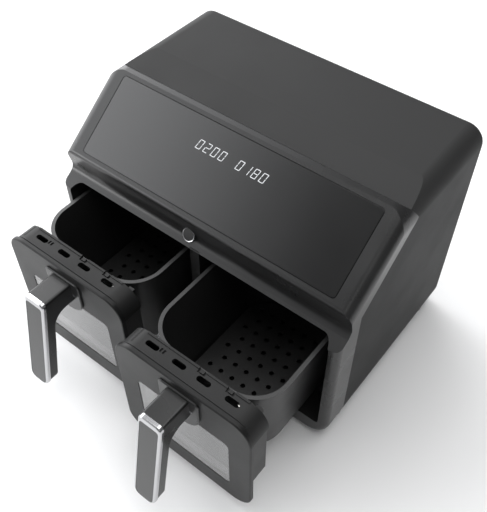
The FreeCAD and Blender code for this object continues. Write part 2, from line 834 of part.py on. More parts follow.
def cord_gland():
    """The bush in the rear cover that a mains cord would leave through."""
    flange = rod("Y", d.gland_radius + 3, d.gland_flange, 0, d.rear_reach, 0)
    neck = rod("Y", d.gland_radius - d.screw_play, d.rear_cover_depth + 2, 0, REAR_SEAM - 2, 0)
    bore = rod("Y", d.gland_bore, 40, 0, REAR_SEAM - 10, 0)
    finish("cord_gland", cut(fuse(flange, neck), bore), GLAND_X, 0, d.gland_height)


def case_screws():
    """Six pan-head screws through the rear cover."""
    screws = []
    for x, z in rear_screw_places():
        shank = rod("Y", d.screw_radius, 12, x, d.rear_reach - 12, z)
        head = rod("Y", d.screw_head, 2, x, d.rear_reach, z)
        screws.append(fuse(shank, head))
    finish("case_screws", group(*screws))


def rubber_feet():
    """Four round feet, each cut on top to the curve of the tray that it is stuck to."""
    feet = []
    for side in SIDES.values():
        for y in (-d.front_reach + d.foot_front_inset, d.rear_reach - d.foot_rear_inset):
            feet.append(rod("Z", d.foot_radius, d.base_clear + d.base_round / 2,
                            side * (HALF_WIDTH - d.foot_side_inset), y, 0))
    finish("rubber_feet", group(*[cut(foot, envelope(-d.front_reach, d.rear_reach)) for foot in feet]))


def drawer_sensors():
    """Two reed switches in little cases behind the frame, one level with each drawer's magnet."""
    cases = []
    for side in SIDES.values():
        cases.append(block(side * d.sensor_across - 3, side * d.sensor_across + 3, -d.seam_low_reach + 1.5,
                           -d.seam_low_reach + 16, d.opening_top + d.wall, d.opening_top + d.wall + 8))
    finish("drawer_sensors", group(*cases))


# ---------------------------------------------------------------------------------------------
# Drawers, each worked out about its own middle at X = 0, shut, and then moved to its side and
# pulled out
# ---------------------------------------------------------------------------------------------
def finish_drawer(name, side, thing):
    finish(name + "_" + side, thing, SIDES[side] * DRAWER_X, pull=PULL[side])


def screw_holes(radius):
    """Two holes from front to back for the screws that hold the handle."""
    return [rod("Y", radius, 60, x * d.handle_screw_across, CLOSED_FRONT - 20, d.handle_screw_height)
            for x in (-1, 1)]


def window_slab(front, back, grow):
    """A slab as large as the window and a bit more, or less, all round."""
    half = d.window_width / 2 + grow
    return slab("Y", front, back, (-half, d.window_low - grow), (half, d.window_top + grow),
                radius=d.window_round + grow)


def face_panel(side):
    panel = slab("Y", CLOSED_FRONT, CLOSED_FRONT + d.panel_thick, (-PANEL_HALF, PANEL_LOW),
                 (PANEL_HALF, PANEL_TOP), radius=d.panel_round)
    soften(panel, d.panel_edge, lambda e: e.CenterOfMass.y < CLOSED_FRONT.value + 0.01)
    window = window_slab(CLOSED_FRONT - 5, CLOSED_FRONT + 20, 0)
    finish_drawer("face_panel", side, cut(panel, window, *screw_holes(d.screw_radius + d.screw_play)))


def window_glass(side):
    front = CLOSED_FRONT + d.pane_setback
    finish_drawer("window_glass", side, window_slab(front, front + d.pane_thick, -d.pane_gap))


def window_gasket(side):
    """A silicone ring that presses both panes against the panel and the housing."""
    front = CLOSED_FRONT + d.pane_setback + d.pane_thick
    back = CLOSED_FRONT + d.panel_thick
    outer = window_slab(front, back, -d.pane_gap)
    finish_drawer("window_gasket", side, cut(outer, window_slab(front - 5, back + 5, -d.gasket_edge)))


def drawer_housing(side):
    """The hollow frame behind the panel; its sides stop short of the panel's foot."""
    front = CLOSED_FRONT + d.panel_thick
    back = HOUSING_BACK
    wall = d.housing_wall
    outer = slab("Y", front, back, (-HOUSING_HALF, d.housing_low), (HOUSING_HALF, CAP_LOW),
                 upper=d.housing_round, lower=as_size(4))
    inner = slab("Y", front + wall, back - wall, (-HOUSING_HALF + wall, d.housing_low + wall),
                 (HOUSING_HALF - wall, CAP_LOW - wall), upper=d.housing_round - wall, lower=as_size(1.5))
    low = d.housing_low + wall * 2
    high = d.window_top - 14
    half = d.window_width / 2 - 8
    window = slab("Y", front - 5, back + 5, (-half, low), (half, high), radius=as_size(5))
    airways = [block(x - d.slot_length / 2, x + d.slot_length / 2, front + d.panel_thick,
                     back - d.panel_thick, CAP_LOW - wall * 2, CAP_LOW + 1) for x in slot_places()]
    driver_holes = [rod("Y", d.screw_head + 1, 20, x * d.handle_screw_across, back - 10,
                        d.handle_screw_height) for x in (-1, 1)]
    finish_drawer("drawer_housing", side, cut(outer, inner, window, magnet_disc(), *driver_holes,
                                              *airways, *screw_holes(d.screw_radius + d.screw_play)))


def inner_window(side):
    """The second pane, between the housing's back and the basket's front."""
    half = d.window_width / 2 - 4
    finish_drawer("inner_window", side, slab("Y", HOUSING_BACK, HOUSING_BACK + d.pane_thick,
                                             (-half, d.housing_low + 2), (half, d.window_top - 10),
                                             radius=as_size(5)))


def slot_places():
    near = d.slot_near
    far = d.slot_near + d.slot_step
    return [-far, -near, near, far]


def hood_slice(front, back, top):
    """Part of the hood between two depths: it wraps over the housing's top and both its shoulders."""
    half = HOUSING_HALF + d.hood_wall
    low = CAP_LOW - d.housing_round - 2
    outer = slab("Y", front, back, (-half, low), (half, top), upper=d.housing_round + top - CAP_LOW)
    inner = slab("Y", front - 1, back + 1, (-HOUSING_HALF, low - 10), (HOUSING_HALF, CAP_LOW),
                 upper=d.housing_round)
    return cut(outer, inner)


def vent_cap(side):
    """The hood along the top of the drawer: four vents, a raised ridge, a lower end, a lug and hooks."""
    front = CLOSED_FRONT + d.panel_thick
    back = HOUSING_BACK
    half = HOUSING_HALF + d.hood_wall
    bed_top = CAP_TOP - 1
    bed = hood_slice(front, back, bed_top)
    flat_half = HOUSING_HALF - d.housing_round
    ridge = common(hood_slice(front + 2, front + 4, CAP_TOP),
                   block(-flat_half - 12, flat_half + 12, front, back, CAP_LOW - 15, CAP_TOP + 5))
    rear_lip = block(-flat_half, flat_half, back - 2.5, back, CAP_LOW, CAP_TOP)
    lug = block(flat_half + 5, flat_half + 12, back, back + 4, CAP_LOW - 10, CAP_LOW - 2)
    middle = front + d.housing_depth / 2 + 2
    slots = []
    for x in slot_places():
        flat = (d.slot_length - d.slot_width) / 2
        slots.append(block(x - flat, x + flat, middle - d.slot_width / 2, middle + d.slot_width / 2,
                           CAP_LOW - 5, CAP_TOP + 5))
        for end in (-1, 1):
            slots.append(rod("Z", d.slot_width / 2, d.cap_thick + 10, x + end * flat, middle, CAP_LOW - 5))
    notches = [block(-half - 1, -flat_half - 6, front + 6, back + 1, CAP_LOW + 0.8, CAP_TOP + 5)]
    for x in (-d.slot_near - 25, -d.slot_near - 21):
        notches.append(block(x - 1.2, x + 1.2, middle - 1, middle + 4, CAP_LOW + 1.2, CAP_TOP + 5))
    hook_places = (as_size(8), d.slot_near + 28)
    for x in hook_places:
        notches.append(block(x - 5, x + 5, back - 6, back + 5, CAP_LOW + 1.2, CAP_TOP + 5))
    hooks = [block(x - 2.5, x + 2.5, back - 5, back - 1, CAP_LOW + 1, CAP_TOP - 0.6) for x in hook_places]
    finish_drawer("vent_cap", side, fuse(cut(fuse(bed, ridge, rear_lip, lug), *slots, *notches), *hooks))


def magnet_disc():
    return rod("Z", d.magnet_radius, d.magnet_thick, d.magnet_across, HOUSING_BACK - d.magnet_inset,
               CAP_LOW - d.magnet_thick)


def drawer_magnet(side):
    finish_drawer("drawer_magnet", side, group(magnet_disc()))


def grip_line(z, behind=0):
    """How far forward the grip's front face is at a height; it leans out towards its foot."""
    share = (d.arm_top - z) / (d.arm_top - d.grip_low)
    return CLOSED_FRONT - d.grip_reach - d.grip_lean * share + behind


def grip_band(front, back, half, top, low):
    """A slice of the grip between two planes that lean with its front face."""
    points = [(grip_line(top, front), top), (grip_line(low, front), low), (grip_line(low, back), low),
              (grip_line(top, back), top)]
    return prism("X", -half, half, points)


def round_grip(band, inset):
    """Rounds the grip's four corners as seen from the front, more at the foot than at the top."""
    middle = (SIZES["arm_top"] + SIZES["grip_low"]) / 2
    soften(band, d.grip_foot_round - inset, lambda e: runs_along(e, "y") and e.CenterOfMass.z < middle)
    soften(band, d.grip_top_round - inset, lambda e: runs_along(e, "y") and e.CenterOfMass.z > middle)
    return band


def faces_away(edge, behind):
    """Whether a side edge is clear of the trim and of the mounting plate."""
    mid = edge.CenterOfMass
    line = grip_line(as_size(mid.z)).value + behind
    return line < mid.y < CLOSED_FRONT.value - SIZES["plate_thick"] - 0.5


def handle_body(side):
    """The black arm and the back of the grip, bent into one hook."""
    half = d.handle_width / 2 - 0.4
    under = d.arm_top - d.arm_height
    rear = d.grip_thick
    low = d.grip_low + 1
    points = [(CLOSED_FRONT - d.plate_thick, d.arm_top), (grip_line(d.arm_top, d.trim_thick), d.arm_top),
              (grip_line(low, d.trim_thick), low), (grip_line(low, rear), low),
              (grip_line(under, rear), under), (CLOSED_FRONT - d.plate_thick, under)]
    hook = prism("X", -half, half, points)
    foot = low.value + 1
    soften(hook, d.grip_foot_round, lambda e: runs_along(e, "y") and e.CenterOfMass.z < foot)
    bend_y, bend_z = points[4]
    soften(hook, d.arm_bend, lambda e: (runs_along(e, "x") and abs(e.CenterOfMass.y - bend_y.value) < 0.1
                                        and abs(e.CenterOfMass.z - bend_z.value) < 0.1))
    soften(hook, as_size(3), lambda e: not runs_along(e, "x") and faces_away(e, SIZES["trim_thick"] + 0.5))
    finish_drawer("handle_body", side, hook)


def handle_trim(side):
    """The bright cap on the front of the grip, with a sunk face for the insert."""
    half = d.handle_width / 2
    trim = round_grip(grip_band(0, d.trim_thick, half, d.arm_top + 0.6, d.grip_low), 0)

    def at_front(edge):
        return all(abs(v.Point.y - grip_line(as_size(v.Point.z)).value) < 0.1 for v in edge.Vertexes)

    soften(trim, d.trim_edge, at_front)
    finish_drawer("handle_trim", side, cut(trim, insert_band(-6, 0.2)))


def insert_band(proud, grow):
    """The insert, or the slightly larger hollow that it lies in."""
    inset = d.insert_inset - grow
    half = d.handle_width / 2 - inset
    band = grip_band(proud, 2.4, half, d.arm_top - d.insert_drop + grow, d.grip_low + inset)
    return round_grip(band, inset)


def handle_insert(side):
    finish_drawer("handle_insert", side, insert_band(0.3, 0))


def handle_base(side):
    """The shield-shaped plate that the arm grows out of, drilled for its two screws."""
    half = d.plate_width / 2
    plate = slab("Y", CLOSED_FRONT - d.plate_thick, CLOSED_FRONT, (-half, d.plate_low), (half, d.plate_top),
                 upper=as_size(5), lower=half - 2)
    soften(plate, as_size(1.6), lambda e: e.CenterOfMass.y < (CLOSED_FRONT - d.plate_thick).value + 0.01)
    finish_drawer("handle_base", side, cut(plate, *screw_holes(d.screw_radius)))


def handle_screws(side):
    """Two screws from inside the housing through the panel and into the arm's plate."""
    screws = []
    head_front = CLOSED_FRONT + d.panel_thick + d.housing_wall
    for side_sign in (-1, 1):
        x = side_sign * d.handle_screw_across
        shank = rod("Y", d.screw_radius, 10, x, head_front - 10, d.handle_screw_height)
        head = rod("Y", d.screw_head, 2, x, head_front, d.handle_screw_height)
        screws.append(fuse(shank, head))
    finish_drawer("handle_screws", side, group(*screws))


def basket_form(inset, top):
    half = d.pan_width / 2 - inset
    front = PAN_FRONT + inset
    back = PAN_FRONT + d.pan_length - inset
    low = d.pan_low + inset
    depth = top - low
    body = doc.addObject("PartDesign::Body", "Tub")
    pad = body.newObject("PartDesign::Pad", "Pad")
    pad.Profile = outline(body, "XY_Plane", [(-half, front), (half, front), (half, back), (-half, back)])
    bind(pad, "Length", depth)
    pad.Reversed = True
    bind(pad, "TaperAngle", -d.pan_taper)
    soften(body, d.pan_corner - inset, lambda e: abs(e.BoundBox.ZLength - depth.value) < 0.5)
    soften(body, d.pan_bottom_round - inset, lambda e: abs(e.CenterOfMass.z + depth.value) < 0.05)
    return place(body, 0, 0, top)


def basket(side):
    wall = d.pan_wall
    outer = basket_form(as_size(0), d.pan_top)
    inner = basket_form(wall, d.pan_top + 0.5)
    rim_half = d.pan_width / 2 + d.rim_width
    rim = slab("Z", d.pan_top - wall, d.pan_top, (-rim_half, PAN_FRONT - d.rim_width),
               (rim_half, PAN_FRONT + d.pan_length + d.rim_width), radius=d.pan_corner + d.rim_width)
    bracket = block(-28, 28, HOUSING_BACK, PAN_FRONT + 6, d.window_top + 4, d.pan_top - 8)
    finish_drawer("basket", side, cut(fuse(outer, rim, bracket), inner))


def crisper_plate(side):
    """The perforated plate that food sits on; it lifts straight out of the basket."""
    low = CRISPER_LOW
    inset = CRISPER_INSET
    half = d.pan_width / 2 - inset
    plate = slab("Z", low, low + d.crisper_thick, (-half, PAN_FRONT + inset),
                 (half, PAN_FRONT + d.pan_length - inset), radius=d.pan_corner - d.pan_wall - d.crisper_gap)
    holes = []
    for row in range(-4, 5):
        for column in range(-3, 4):
            x = 16.5 * column + (8.25 if row % 2 else 0)
            if abs(x) > 54:
                continue
            holes.append(rod("Z", d.crisper_hole / 2, 10, x, PAN_MIDDLE + 17 * row, low - 5))
    finish_drawer("crisper_plate", side, cut(plate, *holes))


def plate_bumpers(side):
    """Four silicone bumpers that hold the plate off the basket's floor and walls."""
    bumpers = []
    low = d.pan_low + d.pan_wall + 0.2
    for x in (-1, 1):
        for y in (-1, 1):
            bumpers.append(rod("Z", 5, CRISPER_LOW - low, x * (d.pan_width / 2 - CRISPER_INSET - 22),
                               PAN_MIDDLE + y * (d.pan_length / 2 - CRISPER_INSET - 22), low))
    finish_drawer("plate_bumpers", side, group(*bumpers))


# ---------------------------------------------------------------------------------------------
# The object
# ---------------------------------------------------------------------------------------------
CASING = (outer_cover, rear_cover, front_fascia, control_glass, display_module, control_board,
          badge_ring, base_tray, rubber_feet, motor_deck, power_board, cord_gland, case_screws,
          drawer_sensors)
EACH_ZONE = (chamber, heater, heater_guard, fan_shaft, fan_motor, temperature_probe)
EACH_DRAWER = (face_panel, window_glass, window_gasket, inner_window, drawer_housing, vent_cap,
               drawer_magnet, handle_base, handle_body, handle_trim, handle_insert, handle_screws,
               basket, crisper_plate, plate_bumpers)


def build_all():
    for make in CASING:
        make()
    for side in SIDES:
        for make in EACH_ZONE:
            make(side)
        impeller("hot_fan", side, d.hot_fan_low, d.hot_fan_height, d.hot_fan_round, 8)
        impeller("cooling_fan", side, d.cooling_fan_low, d.cooling_fan_height, d.cooling_fan_round, 6)
        for make in EACH_DRAWER:
            make(side)
    doc.recompute()


def write_all():
    """Checks every object, then writes each piece to its own file."""
    failed = [thing.Label for thing in doc.Objects if {"Invalid", "Error"} & set(thing.State)]
    if failed:
        raise SystemExit("failed objects: " + ", ".join(failed))
    for piece in pieces:
        if piece.Shape.isNull() or not piece.Shape.isValid() or not piece.Shape.Solids:
            raise SystemExit(piece.Label + " has no valid shape")
    os.makedirs("parts", exist_ok=True)
    for piece in pieces:
        piece.Shape.exportStep("parts/%s.step" % piece.Label)


build_all()
write_all()
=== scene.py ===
# Looks for the twin-drawer air fryer: materials for every piece, the ground glass, the badge, the readout's
# digits, floor, light and camera. Lengths are in metres.
import bpy
import bmesh
import math
from mathutils import Euler, Matrix, Vector


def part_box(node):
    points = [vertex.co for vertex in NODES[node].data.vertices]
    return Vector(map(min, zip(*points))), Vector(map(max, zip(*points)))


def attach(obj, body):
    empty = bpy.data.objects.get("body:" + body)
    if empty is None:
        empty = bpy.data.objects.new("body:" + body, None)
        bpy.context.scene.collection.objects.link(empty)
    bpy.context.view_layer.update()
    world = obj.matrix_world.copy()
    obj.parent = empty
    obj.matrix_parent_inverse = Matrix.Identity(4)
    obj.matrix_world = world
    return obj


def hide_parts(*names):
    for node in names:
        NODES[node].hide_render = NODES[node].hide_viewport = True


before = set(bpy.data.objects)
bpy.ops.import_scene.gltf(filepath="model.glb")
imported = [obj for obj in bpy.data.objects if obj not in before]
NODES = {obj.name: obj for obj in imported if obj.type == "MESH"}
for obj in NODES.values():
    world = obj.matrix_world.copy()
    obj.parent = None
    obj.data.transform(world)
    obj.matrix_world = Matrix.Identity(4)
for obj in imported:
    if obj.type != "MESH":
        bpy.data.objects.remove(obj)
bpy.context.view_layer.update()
SIDES = ("left", "right")
CLOUD_SCALE = 14.0
METAL_CLOUD_SCALE = 22.0
PLASTIC_BUMP_DEPTH = 0.0001
METAL_BUMP_DEPTH = 0.00005
scene = bpy.context.scene


# ---------------------------------------------------------------------------------------------
# Shader building blocks
# ---------------------------------------------------------------------------------------------
def link(tree, a, b):
    tree.links.new(a, b)


def new_group(name, inputs, outputs):
    """A shader node group with named inputs (name, type, default) and outputs (name, type)."""
    tree = bpy.data.node_groups.new(name, "ShaderNodeTree")
    for label, kind, default in inputs:
        socket = tree.interface.new_socket(name=label, in_out="INPUT", socket_type=kind)
        if default is not None:
            socket.default_value = default
    for label, kind in outputs:
        tree.interface.new_socket(name=label, in_out="OUTPUT", socket_type=kind)
    return tree, tree.nodes.new("NodeGroupInput"), tree.nodes.new("NodeGroupOutput")


def grain_group():
    """Moulded plastic: fine pimples for the bump, and slow unevenness for roughness."""
    tree, given, out = new_group(
        "moulded_grain",
        [("Grain", "NodeSocketFloat", 1800.0), ("Low", "NodeSocketFloat", 0.4),
         ("High", "NodeSocketFloat", 0.5)],
        [("Height", "NodeSocketFloat"), ("Roughness", "NodeSocketFloat"), ("Cloud", "NodeSocketFloat")])
    place = tree.nodes.new("ShaderNodeTexCoord")
    fine = tree.nodes.new("ShaderNodeTexNoise")
    fine.inputs["Detail"].default_value = 2.0
    link(tree, place.outputs["Object"], fine.inputs["Vector"])
    link(tree, given.outputs["Grain"], fine.inputs["Scale"])
    slow = tree.nodes.new("ShaderNodeTexNoise")
    slow.inputs["Scale"].default_value = CLOUD_SCALE
    slow.inputs["Detail"].default_value = 3.0
    link(tree, place.outputs["Object"], slow.inputs["Vector"])
    spread = tree.nodes.new("ShaderNodeMapRange")
    spread.inputs["From Min"].default_value = 0.35
    spread.inputs["From Max"].default_value = 0.65
    link(tree, slow.outputs["Fac"], spread.inputs["Value"])
    link(tree, given.outputs["Low"], spread.inputs["To Min"])
    link(tree, given.outputs["High"], spread.inputs["To Max"])
    link(tree, fine.outputs["Fac"], out.inputs["Height"])
    link(tree, spread.outputs["Result"], out.inputs["Roughness"])
    link(tree, slow.outputs["Fac"], out.inputs["Cloud"])
    return tree


def brush_group():
    """Rolled or brushed metal: long streaks along one axis."""
    tree, given, out = new_group(
        "brushed",
        [("Stretch", "NodeSocketVector", (30.0, 900.0, 900.0)), ("Low", "NodeSocketFloat", 0.25),
         ("High", "NodeSocketFloat", 0.4)],
        [("Height", "NodeSocketFloat"), ("Roughness", "NodeSocketFloat"), ("Cloud", "NodeSocketFloat")])
    place = tree.nodes.new("ShaderNodeTexCoord")
    stretch = tree.nodes.new("ShaderNodeVectorMath")
    stretch.operation = "MULTIPLY"
    link(tree, place.outputs["Object"], stretch.inputs[0])
    link(tree, given.outputs["Stretch"], stretch.inputs[1])
    streaks = tree.nodes.new("ShaderNodeTexNoise")
    streaks.inputs["Scale"].default_value = 1.0
    streaks.inputs["Detail"].default_value = 3.0
    link(tree, stretch.outputs["Vector"], streaks.inputs["Vector"])
    spread = tree.nodes.new("ShaderNodeMapRange")
    link(tree, streaks.outputs["Fac"], spread.inputs["Value"])
    link(tree, given.outputs["Low"], spread.inputs["To Min"])
    link(tree, given.outputs["High"], spread.inputs["To Max"])
    slow = tree.nodes.new("ShaderNodeTexNoise")
    slow.inputs["Scale"].default_value = METAL_CLOUD_SCALE
    link(tree, place.outputs["Object"], slow.inputs["Vector"])
    link(tree, streaks.outputs["Fac"], out.inputs["Height"])
    link(tree, spread.outputs["Result"], out.inputs["Roughness"])
    link(tree, slow.outputs["Fac"], out.inputs["Cloud"])
    return tree


GRAIN = grain_group()
BRUSH = brush_group()


def blended(tree, fac, dark, light):
    """A colour that goes from dark to light with a factor."""
    mix = tree.nodes.new("ShaderNodeMix")
    mix.data_type = "RGBA"
    mix.inputs[6].default_value = (*dark, 1)
    mix.inputs[7].default_value = (*light, 1)
    link(tree, fac, mix.inputs[0])
    return mix.outputs[2]


def finish_material(name, group, dark, light, bump, depth, settings, group_values, base_extra=None):
    """A Principled material whose colour, roughness and bump come from a shared group."""
    material = bpy.data.materials.new(name)
    material.use_nodes = True
    tree = material.node_tree
    shader = tree.nodes["Principled BSDF"]
    source = tree.nodes.new("ShaderNodeGroup")
    source.node_tree = group
    for label, value in group_values.items():
        source.inputs[label].default_value = value
    colour = blended(tree, source.outputs["Cloud"], dark, light)
    if base_extra:
        colour = base_extra(tree, colour)
    link(tree, colour, shader.inputs["Base Color"])
    link(tree, source.outputs["Roughness"], shader.inputs["Roughness"])
    bumper = tree.nodes.new("ShaderNodeBump")
    bumper.inputs["Strength"].default_value = bump
    bumper.inputs["Distance"].default_value = depth
    link(tree, source.outputs["Height"], bumper.inputs["Height"])
    link(tree, bumper.outputs["Normal"], shader.inputs["Normal"])
    for label, value in settings.items():
        shader.inputs[label].default_value = value
    return material


def plastic(name, dark, light, low, high, bump=0.25, grain=1800.0, **settings):
    return finish_material(name, GRAIN, dark, light, bump, PLASTIC_BUMP_DEPTH, settings,
                           {"Grain": grain, "Low": low, "High": high})


def metal(name, dark, light, low, high, stretch=(30.0, 900.0, 900.0), bump=0.08, **settings):
    settings.setdefault("Metallic", 1.0)
    return finish_material(name, BRUSH, dark, light, bump, METAL_BUMP_DEPTH, settings,
                           {"Stretch": stretch, "Low": low, "High": high})


def heat_tint(tree, colour):
    """Straw and blue tints along a heating tube."""
    place = tree.nodes.new("ShaderNodeTexCoord")
    wave = tree.nodes.new("ShaderNodeTexNoise")
    wave.inputs["Scale"].default_value = 30.0
    link(tree, place.outputs["Object"], wave.inputs["Vector"])
    ramp = tree.nodes.new("ShaderNodeValToRGB")
    ramp.color_ramp.elements[0].position = 0.35
    ramp.color_ramp.elements[0].color = (0.30, 0.22, 0.14, 1)
    ramp.color_ramp.elements[1].position = 0.65
    ramp.color_ramp.elements[1].color = (0.16, 0.17, 0.22, 1)
    link(tree, wave.outputs["Fac"], ramp.inputs["Fac"])
    mix = tree.nodes.new("ShaderNodeMix")
    mix.data_type = "RGBA"
    mix.inputs[0].default_value = 0.6
    link(tree, colour, mix.inputs[6])
    link(tree, ramp.outputs["Color"], mix.inputs[7])
    return mix.outputs[2]


def grey(v, tint=1.04):
    """A grey of value v; tint above 1 makes it a little bluer."""
    return (v, v * (1 + (tint - 1) / 2), v * tint)


SHELL = plastic("shell_plastic", grey(0.023, 1.0), grey(0.028, 1.0), 0.60, 0.68, 0.30, 1500.0,
                **{"Specular IOR Level": 0.2})
FASCIA = plastic("fascia_plastic", grey(0.012, 1.0), grey(0.016, 1.0), 0.26, 0.32, 0.04, 900.0,
                 **{"Specular IOR Level": 0.5})
TRAY = plastic("tray_plastic", grey(0.010), grey(0.014), 0.5, 0.62, 0.3, 1200.0)
FACE = plastic("drawer_face_plastic", grey(0.008, 1.0), grey(0.011, 1.0), 0.34, 0.42, 0.10, 1600.0,
               **{"Specular IOR Level": 0.2})
CAP = plastic("vent_cap_plastic", grey(0.010, 1.0), grey(0.014, 1.0), 0.50, 0.60, 0.25, 1300.0,
              **{"Specular IOR Level": 0.25})
HOUSING = plastic("housing_plastic", grey(0.020, 1.0), grey(0.026, 1.0), 0.42, 0.52, 0.3, 1300.0,
                  **{"Specular IOR Level": 0.35})
HANDLE = plastic("handle_plastic", grey(0.007, 1.0), grey(0.010, 1.0), 0.24, 0.32, 0.03, 900.0,
                 **{"Specular IOR Level": 0.4})
INSERT = plastic("insert_plastic", grey(0.018, 1.0), grey(0.024, 1.0), 0.20, 0.26, 0.05, 1400.0,
                 **{"Specular IOR Level": 0.5})
RUBBER = plastic("rubber", grey(0.014, 1.0), grey(0.020, 1.0), 0.68, 0.8, 0.3, 700.0)
SILICONE = plastic("silicone", grey(0.03), grey(0.04), 0.5, 0.6, 0.1, 500.0)
NONSTICK = plastic("nonstick_coating", grey(0.014, 1.0), grey(0.019, 1.0), 0.36, 0.46, 0.35, 900.0)
TRIM = metal("bright_chrome", (0.42, 0.42, 0.43), (0.54, 0.54, 0.55), 0.10, 0.16, (20.0, 20.0, 400.0), 0.01)
SHEET = metal("aluminised_sheet", (0.30, 0.30, 0.31), (0.40, 0.40, 0.41), 0.34, 0.46)
SCREW = metal("zinc_screw", (0.42, 0.42, 0.43), (0.5, 0.5, 0.52), 0.28, 0.4)
FAN = metal("stamped_aluminium", (0.55, 0.56, 0.57), (0.66, 0.66, 0.67), 0.3, 0.42, (400.0, 400.0, 400.0))
MOTOR = plastic("motor_steel", grey(0.09), grey(0.13), 0.45, 0.58, 0.35, 500.0, Metallic=0.8)
MAGNET = metal("nickel", (0.6, 0.59, 0.56), (0.68, 0.67, 0.64), 0.2, 0.3)
TUBE = finish_material("heater_tube", BRUSH, (0.28, 0.26, 0.24), (0.36, 0.34, 0.32), 0.1, METAL_BUMP_DEPTH,
                       {"Metallic": 0.9},
                       {"Stretch": (200.0, 200.0, 200.0), "Low": 0.35, "High": 0.5}, heat_tint)
BOARD = plastic("board_laminate", (0.010, 0.10, 0.045), (0.015, 0.13, 0.06), 0.3, 0.4, 0.1, 700.0)
BADGE_RING = metal("badge_ring_metal", (0.50, 0.50, 0.51), (0.60, 0.60, 0.61), 0.28, 0.36,
                   (300.0, 300.0, 300.0), 0.02)


def clear_glass(name, tint, rough, alpha):
    """A pane that shows what is behind it, with a faint haze."""
    return finish_material(name, GRAIN, tint, tuple(c * HAZE_SPREAD for c in tint), 0.01, 0.00002,
                           {"Alpha": alpha, "IOR": GLASS_IOR, "Coat Weight": 0.6, "Coat Roughness": 0.04},
                           {"Grain": 12.0, "Low": rough, "High": rough + 0.08})


GLASS_IOR = 1.5
HAZE_SPREAD = 1.08
# Smoked glass over black: a deep colour under a smooth coat.
PANEL_GLASS = plastic("control_glass_black", grey(0.006, 1.0), grey(0.008, 1.0), 0.14, 0.18, 0.004, 60.0,
                      **{"Coat Weight": 0.5, "Coat Roughness": 0.05, "IOR": GLASS_IOR})
# Near-black, low-sheen ground edge of the control glass: painted shade for the dark gap line round the
# glass.
GLASS_EDGE_PAINTED_SHADE = plastic("glass_edge_painted_gap_shade", grey(0.002, 1.0), grey(0.003, 1.0), 0.20, 0.26, 0.02, 400.0,
                     **{"Specular IOR Level": 0.3})
WINDOW = clear_glass("window_glass_tint", (0.27, 0.27, 0.27), 0.12, 0.72)
INNER = clear_glass("inner_window_tint", (0.34, 0.34, 0.34), 0.2, 0.8)


def digit_material():
    """Lit segments, with a slight unevenness from one to the next."""
    material = bpy.data.materials.new("readout_light")
    material.use_nodes = True
    tree = material.node_tree
    shader = tree.nodes["Principled BSDF"]
    place = tree.nodes.new("ShaderNodeTexCoord")
    noise = tree.nodes.new("ShaderNodeTexNoise")
    noise.inputs["Scale"].default_value = 120.0
    link(tree, place.outputs["Object"], noise.inputs["Vector"])
    colour = blended(tree, noise.outputs["Fac"], (0.50, 0.51, 0.53), (0.66, 0.67, 0.68))
    link(tree, colour, shader.inputs["Base Color"])
    link(tree, colour, shader.inputs["Emission Color"])
    shader.inputs["Emission Strength"].default_value = 0.24
    shader.inputs["Roughness"].default_value = 0.4
    return material


DIGITS = digit_material()

LOOKS = {
    "outer_cover": SHELL, "rear_cover": SHELL, "front_fascia": FASCIA, "control_glass": PANEL_GLASS,
    "display_module": TRAY, "control_board": BOARD, "badge_ring": FASCIA, "base_tray": TRAY,
    "rubber_feet": RUBBER, "motor_deck": SHEET, "power_board": BOARD, "cord_gland": RUBBER,
    "case_screws": SCREW, "drawer_sensors": TRAY, "chamber": SHEET, "heater": TUBE, "heater_guard": SHEET,
    "fan_shaft": SCREW, "fan_motor": MOTOR, "temperature_probe": SCREW, "hot_fan": FAN, "cooling_fan": FAN,
    "face_panel": FACE, "window_glass": WINDOW, "window_gasket": SILICONE, "inner_window": INNER,
    "drawer_housing": HOUSING, "vent_cap": CAP, "drawer_magnet": MAGNET, "handle_base": HANDLE,
    "handle_body": HANDLE, "handle_trim": TRIM, "handle_insert": INSERT, "handle_screws": SCREW,
    "basket": NONSTICK, "crisper_plate": NONSTICK, "plate_bumpers": SILICONE,
}


def kind_of(name):
    for side in SIDES:
        if name.endswith("_" + side):
            return name[:-len(side) - 1]
    return name


for name, thing in NODES.items():
    thing.data.materials.clear()
    thing.data.materials.append(LOOKS[kind_of(name)])


def new_piece(name, mesh, body, *materials):
    """Turns a bmesh into a named object that rides on a body."""
    bmesh.ops.recalc_face_normals(mesh, faces=mesh.faces)
    data = bpy.data.meshes.new(name)
    mesh.to_mesh(data)
    mesh.free()
    thing = bpy.data.objects.new(name, data)
    scene.collection.objects.link(thing)
    for material in materials:
        data.materials.append(material)
    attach(thing, body)
    return thing


